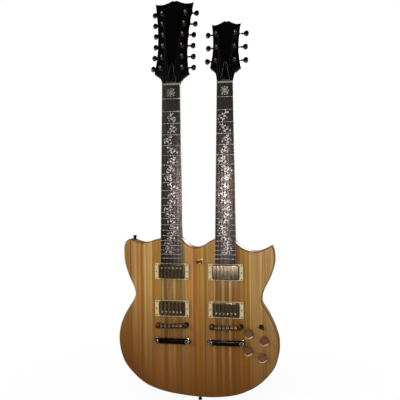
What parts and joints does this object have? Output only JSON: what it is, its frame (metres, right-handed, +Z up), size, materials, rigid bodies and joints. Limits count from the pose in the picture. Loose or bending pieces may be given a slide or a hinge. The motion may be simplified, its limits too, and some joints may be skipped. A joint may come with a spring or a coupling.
{
  "type": "double-neck electric guitar",
  "caption": "Solid-body electric guitar with a twelve-string and a six-string neck, four metal-covered pickups, turning keys and knobs.",
  "frame": {"origin": "on the flat back of the body, midway between the two necks, at the line where the strings' scale ends", "axes": "+Z up along the necks, +X to the right seen from the front, +Y to the back, out of the flat back face"},
  "size_m": [0.4265, 0.0989, 1.0651],
  "materials": {
    "honey_wood": "clear gloss lacquer over glued strips",
    "black_lacquer": "black gloss lacquer",
    "dark_fretboard": "oiled, with pearl inlays and metal frets",
    "gold_plate": "polished gold plating",
    "dark_nickel": "polished, dark",
    "string_steel": "bright wire",
    "amber_knob": "clear amber over a brown core",
    "black_plastic": "satin",
    "cream_plastic": "smooth"
  },
  "bodies": {
    "root": {"body": "honey_wood", "neck_6": "black_lacquer", "fretboard_6": "dark_fretboard", "strings_and_nut_6": "string_steel", "neck_pickup_6": "gold_plate", "bridge_pickup_6": "gold_plate", "bridge_6": "dark_nickel", "tailpiece_6": "gold_plate", "neck_12": "black_lacquer", "fretboard_12": "dark_fretboard", "strings_and_nut_12": "string_steel", "neck_pickup_12": "gold_plate", "bridge_pickup_12": "gold_plate", "bridge_12": "dark_nickel", "tailpiece_12": "gold_plate", "control_cover": "black_plastic", "switch_cover": "black_plastic", "output_jack": "gold_plate"},
    "string_post_6_1": {"string_post_6_1": "gold_plate"},
    "tuning_key_6_1": {"tuning_key_6_1": "dark_nickel"},
    "string_post_6_2": {"string_post_6_2": "gold_plate"},
    "tuning_key_6_2": {"tuning_key_6_2": "dark_nickel"},
    "string_post_6_3": {"string_post_6_3": "gold_plate"},
    "tuning_key_6_3": {"tuning_key_6_3": "dark_nickel"},
    "string_post_6_4": {"string_post_6_4": "gold_plate"},
    "tuning_key_6_4": {"tuning_key_6_4": "dark_nickel"},
    "string_post_6_5": {"string_post_6_5": "gold_plate"},
    "tuning_key_6_5": {"tuning_key_6_5": "dark_nickel"},
    "string_post_6_6": {"string_post_6_6": "gold_plate"},
    "tuning_key_6_6": {"tuning_key_6_6": "dark_nickel"},
    "string_post_12_1": {"string_post_12_1": "gold_plate"},
    "tuning_key_12_1": {"tuning_key_12_1": "dark_nickel"},
    "string_post_12_2": {"string_post_12_2": "gold_plate"},
    "tuning_key_12_2": {"tuning_key_12_2": "dark_nickel"},
    "string_post_12_3": {"string_post_12_3": "gold_plate"},
    "tuning_key_12_3": {"tuning_key_12_3": "dark_nickel"},
    "string_post_12_4": {"string_post_12_4": "gold_plate"},
    "tuning_key_12_4": {"tuning_key_12_4": "dark_nickel"},
    "string_post_12_5": {"string_post_12_5": "gold_plate"},
    "tuning_key_12_5": {"tuning_key_12_5": "dark_nickel"},
    "string_post_12_6": {"string_post_12_6": "gold_plate"},
    "tuning_key_12_6": {"tuning_key_12_6": "dark_nickel"},
    "string_post_12_7": {"string_post_12_7": "gold_plate"},
    "tuning_key_12_7": {"tuning_key_12_7": "dark_nickel"},
    "string_post_12_8": {"string_post_12_8": "gold_plate"},
    "tuning_key_12_8": {"tuning_key_12_8": "dark_nickel"},
    "string_post_12_9": {"string_post_12_9": "gold_plate"},
    "tuning_key_12_9": {"tuning_key_12_9": "dark_nickel"},
    "string_post_12_10": {"string_post_12_10": "gold_plate"},
    "tuning_key_12_10": {"tuning_key_12_10": "dark_nickel"},
    "string_post_12_11": {"string_post_12_11": "gold_plate"},
    "tuning_key_12_11": {"tuning_key_12_11": "dark_nickel"},
    "string_post_12_12": {"string_post_12_12": "gold_plate"},
    "tuning_key_12_12": {"tuning_key_12_12": "dark_nickel"},
    "knob_1": {"knob_1": "amber_knob"},
    "knob_2": {"knob_2": "amber_knob"},
    "knob_3": {"knob_3": "amber_knob"},
    "knob_4": {"knob_4": "amber_knob"},
    "neck_switch_lever": {"neck_switch_lever": "black_plastic"},
    "pickup_switch_lever": {"pickup_switch_lever": "black_plastic"}
  },
  "joints": [
    {"name": "turn_string_post_6_1", "type": "hinge", "parent": "root", "child": "string_post_6_1", "pos_m": [0.04636, -0.01853, 0.68898], "axis": [0, 0.9774, -0.2113], "continuous": true},
    {"name": "turn_tuning_key_6_1", "type": "hinge", "parent": "root", "child": "tuning_key_6_1", "pos_m": [0.04636, 0.00101, 0.69182], "axis": [1, 0, 0], "continuous": true},
    {"name": "turn_string_post_6_2", "type": "hinge", "parent": "root", "child": "string_post_6_2", "pos_m": [0.04784, -0.01063, 0.72554], "axis": [0, 0.9774, -0.2113], "continuous": true},
    {"name": "turn_tuning_key_6_2", "type": "hinge", "parent": "root", "child": "tuning_key_6_2", "pos_m": [0.04784, 0.00891, 0.72837], "axis": [1, 0, 0], "continuous": true},
    {"name": "turn_string_post_6_3", "type": "hinge", "parent": "root", "child": "string_post_6_3", "pos_m": [0.04613, -0.00272, 0.76209], "axis": [0, 0.9774, -0.2113], "continuous": true},
    {"name": "turn_tuning_key_6_3", "type": "hinge", "parent": "root", "child": "tuning_key_6_3", "pos_m": [0.04613, 0.01682, 0.76493], "axis": [1, 0, 0], "continuous": true},
    {"name": "turn_string_post_6_4", "type": "hinge", "parent": "root", "child": "string_post_6_4", "pos_m": [0.09634, -0.01853, 0.68898], "axis": [0, 0.9774, -0.2113], "continuous": true},
    {"name": "turn_tuning_key_6_4", "type": "hinge", "parent": "root", "child": "tuning_key_6_4", "pos_m": [0.09634, 0.00101, 0.69182], "axis": [1, 0, 0], "continuous": true},
    {"name": "turn_string_post_6_5", "type": "hinge", "parent": "root", "child": "string_post_6_5", "pos_m": [0.09486, -0.01063, 0.72554], "axis": [0, 0.9774, -0.2113], "continuous": true},
    {"name": "turn_tuning_key_6_5", "type": "hinge", "parent": "root", "child": "tuning_key_6_5", "pos_m": [0.09486, 0.00891, 0.72837], "axis": [1, 0, 0], "continuous": true},
    {"name": "turn_string_post_6_6", "type": "hinge", "parent": "root", "child": "string_post_6_6", "pos_m": [0.09657, -0.00272, 0.76209], "axis": [0, 0.9774, -0.2113], "continuous": true},
    {"name": "turn_tuning_key_6_6", "type": "hinge", "parent": "root", "child": "tuning_key_6_6", "pos_m": [0.09657, 0.01682, 0.76493], "axis": [1, 0, 0], "continuous": true},
    {"name": "turn_string_post_12_1", "type": "hinge", "parent": "root", "child": "string_post_12_1", "pos_m": [-0.10043, -0.02147, 0.67539], "axis": [0, 0.9774, -0.2113], "continuous": true},
    {"name": "turn_tuning_key_12_1", "type": "hinge", "parent": "root", "child": "tuning_key_12_1", "pos_m": [-0.10043, -0.00193, 0.67823], "axis": [1, 0, 0], "continuous": true},
    {"name": "turn_string_post_12_2", "type": "hinge", "parent": "root", "child": "string_post_12_2", "pos_m": [-0.09854, -0.01487, 0.70589], "axis": [0, 0.9774, -0.2113], "continuous": true},
    {"name": "turn_tuning_key_12_2", "type": "hinge", "parent": "root", "child": "tuning_key_12_2", "pos_m": [-0.09854, 0.00467, 0.70873], "axis": [1, 0, 0], "continuous": true},
    {"name": "turn_string_post_12_3", "type": "hinge", "parent": "root", "child": "string_post_12_3", "pos_m": [-0.09687, -0.00828, 0.73639], "axis": [0, 0.9774, -0.2113], "continuous": true},
    {"name": "turn_tuning_key_12_3", "type": "hinge", "parent": "root", "child": "tuning_key_12_3", "pos_m": [-0.09687, 0.01126, 0.73922], "axis": [1, 0, 0], "continuous": true},
    {"name": "turn_string_post_12_4", "type": "hinge", "parent": "root", "child": "string_post_12_4", "pos_m": [-0.09781, -0.00169, 0.76688], "axis": [0, 0.9774, -0.2113], "continuous": true},
    {"name": "turn_tuning_key_12_4", "type": "hinge", "parent": "root", "child": "tuning_key_12_4", "pos_m": [-0.09781, 0.01785, 0.76972], "axis": [1, 0, 0], "continuous": true},
    {"name": "turn_string_post_12_5", "type": "hinge", "parent": "root", "child": "string_post_12_5", "pos_m": [-0.10086, 0.00491, 0.79738], "axis": [0, 0.9774, -0.2113], "continuous": true},
    {"name": "turn_tuning_key_12_5", "type": "hinge", "parent": "root", "child": "tuning_key_12_5", "pos_m": [-0.10086, 0.02445, 0.80021], "axis": [1, 0, 0], "continuous": true},
    {"name": "turn_string_post_12_6", "type": "hinge", "parent": "root", "child": "string_post_12_6", "pos_m": [-0.10337, 0.0115, 0.82787], "axis": [0, 0.9774, -0.2113], "continuous": true},
    {"name": "turn_tuning_key_12_6", "type": "hinge", "parent": "root", "child": "tuning_key_12_6", "pos_m": [-0.10337, 0.03104, 0.83071], "axis": [1, 0, 0], "continuous": true},
    {"name": "turn_string_post_12_7", "type": "hinge", "parent": "root", "child": "string_post_12_7", "pos_m": [-0.04226, -0.02147, 0.67539], "axis": [0, 0.9774, -0.2113], "continuous": true},
    {"name": "turn_tuning_key_12_7", "type": "hinge", "parent": "root", "child": "tuning_key_12_7", "pos_m": [-0.04226, -0.00193, 0.67823], "axis": [1, 0, 0], "continuous": true},
    {"name": "turn_string_post_12_8", "type": "hinge", "parent": "root", "child": "string_post_12_8", "pos_m": [-0.04415, -0.01487, 0.70589], "axis": [0, 0.9774, -0.2113], "continuous": true},
    {"name": "turn_tuning_key_12_8", "type": "hinge", "parent": "root", "child": "tuning_key_12_8", "pos_m": [-0.04415, 0.00467, 0.70873], "axis": [1, 0, 0], "continuous": true},
    {"name": "turn_string_post_12_9", "type": "hinge", "parent": "root", "child": "string_post_12_9", "pos_m": [-0.04584, -0.00828, 0.73639], "axis": [0, 0.9774, -0.2113], "continuous": true},
    {"name": "turn_tuning_key_12_9", "type": "hinge", "parent": "root", "child": "tuning_key_12_9", "pos_m": [-0.04584, 0.01126, 0.73922], "axis": [1, 0, 0], "continuous": true},
    {"name": "turn_string_post_12_10", "type": "hinge", "parent": "root", "child": "string_post_12_10", "pos_m": [-0.04489, -0.00169, 0.76688], "axis": [0, 0.9774, -0.2113], "continuous": true},
    {"name": "turn_tuning_key_12_10", "type": "hinge", "parent": "root", "child": "tuning_key_12_10", "pos_m": [-0.04489, 0.01785, 0.76972], "axis": [1, 0, 0], "continuous": true},
    {"name": "turn_string_post_12_11", "type": "hinge", "parent": "root", "child": "string_post_12_11", "pos_m": [-0.04185, 0.00491, 0.79738], "axis": [0, 0.9774, -0.2113], "continuous": true},
    {"name": "turn_tuning_key_12_11", "type": "hinge", "parent": "root", "child": "tuning_key_12_11", "pos_m": [-0.04185, 0.02445, 0.80021], "axis": [1, 0, 0], "continuous": true},
    {"name": "turn_string_post_12_12", "type": "hinge", "parent": "root", "child": "string_post_12_12", "pos_m": [-0.03932, 0.0115, 0.82787], "axis": [0, 0.9774, -0.2113], "continuous": true},
    {"name": "turn_tuning_key_12_12", "type": "hinge", "parent": "root", "child": "tuning_key_12_12", "pos_m": [-0.03932, 0.03104, 0.83071], "axis": [1, 0, 0], "continuous": true},
    {"name": "turn_knob_1", "type": "hinge", "parent": "root", "child": "knob_1", "pos_m": [0.12981, 0, -0.01622], "axis": [0, 1, 0], "range_deg": [0, 300]},
    {"name": "turn_knob_2", "type": "hinge", "parent": "root", "child": "knob_2", "pos_m": [0.16909, 0, -0.03328], "axis": [0, 1, 0], "range_deg": [0, 300]},
    {"name": "turn_knob_3", "type": "hinge", "parent": "root", "child": "knob_3", "pos_m": [0.12767, 0, -0.06032], "axis": [0, 1, 0], "range_deg": [0, 300]},
    {"name": "turn_knob_4", "type": "hinge", "parent": "root", "child": "knob_4", "pos_m": [0.1644, 0, -0.07613], "axis": [0, 1, 0], "range_deg": [0, 300]},
    {"name": "tilt_neck_switch_lever", "type": "hinge", "parent": "root", "child": "neck_switch_lever", "pos_m": [0.00512, -0.0432, 0.16806], "axis": [0, 0, 1], "range_deg": [0, 34]},
    {"name": "tilt_pickup_switch_lever", "type": "hinge", "parent": "root", "child": "pickup_switch_lever", "pos_m": [0.16141, -0.0432, 0.00208], "axis": [0, 0, 1], "range_deg": [-34, 0]}
  ],
  "couplings": [
    {"joint": "turn_string_post_6_1", "follows": "turn_tuning_key_6_1", "ratio": 0.1},
    {"joint": "turn_string_post_6_2", "follows": "turn_tuning_key_6_2", "ratio": 0.1},
    {"joint": "turn_string_post_6_3", "follows": "turn_tuning_key_6_3", "ratio": 0.1},
    {"joint": "turn_string_post_6_4", "follows": "turn_tuning_key_6_4", "ratio": -0.1},
    {"joint": "turn_string_post_6_5", "follows": "turn_tuning_key_6_5", "ratio": -0.1},
    {"joint": "turn_string_post_6_6", "follows": "turn_tuning_key_6_6", "ratio": -0.1},
    {"joint": "turn_string_post_12_1", "follows": "turn_tuning_key_12_1", "ratio": 0.1},
    {"joint": "turn_string_post_12_2", "follows": "turn_tuning_key_12_2", "ratio": 0.1},
    {"joint": "turn_string_post_12_3", "follows": "turn_tuning_key_12_3", "ratio": 0.1},
    {"joint": "turn_string_post_12_4", "follows": "turn_tuning_key_12_4", "ratio": 0.1},
    {"joint": "turn_string_post_12_5", "follows": "turn_tuning_key_12_5", "ratio": 0.1},
    {"joint": "turn_string_post_12_6", "follows": "turn_tuning_key_12_6", "ratio": 0.1},
    {"joint": "turn_string_post_12_7", "follows": "turn_tuning_key_12_7", "ratio": -0.1},
    {"joint": "turn_string_post_12_8", "follows": "turn_tuning_key_12_8", "ratio": -0.1},
    {"joint": "turn_string_post_12_9", "follows": "turn_tuning_key_12_9", "ratio": -0.1},
    {"joint": "turn_string_post_12_10", "follows": "turn_tuning_key_12_10", "ratio": -0.1},
    {"joint": "turn_string_post_12_11", "follows": "turn_tuning_key_12_11", "ratio": -0.1},
    {"joint": "turn_string_post_12_12", "follows": "turn_tuning_key_12_12", "ratio": -0.1}
  ]
}
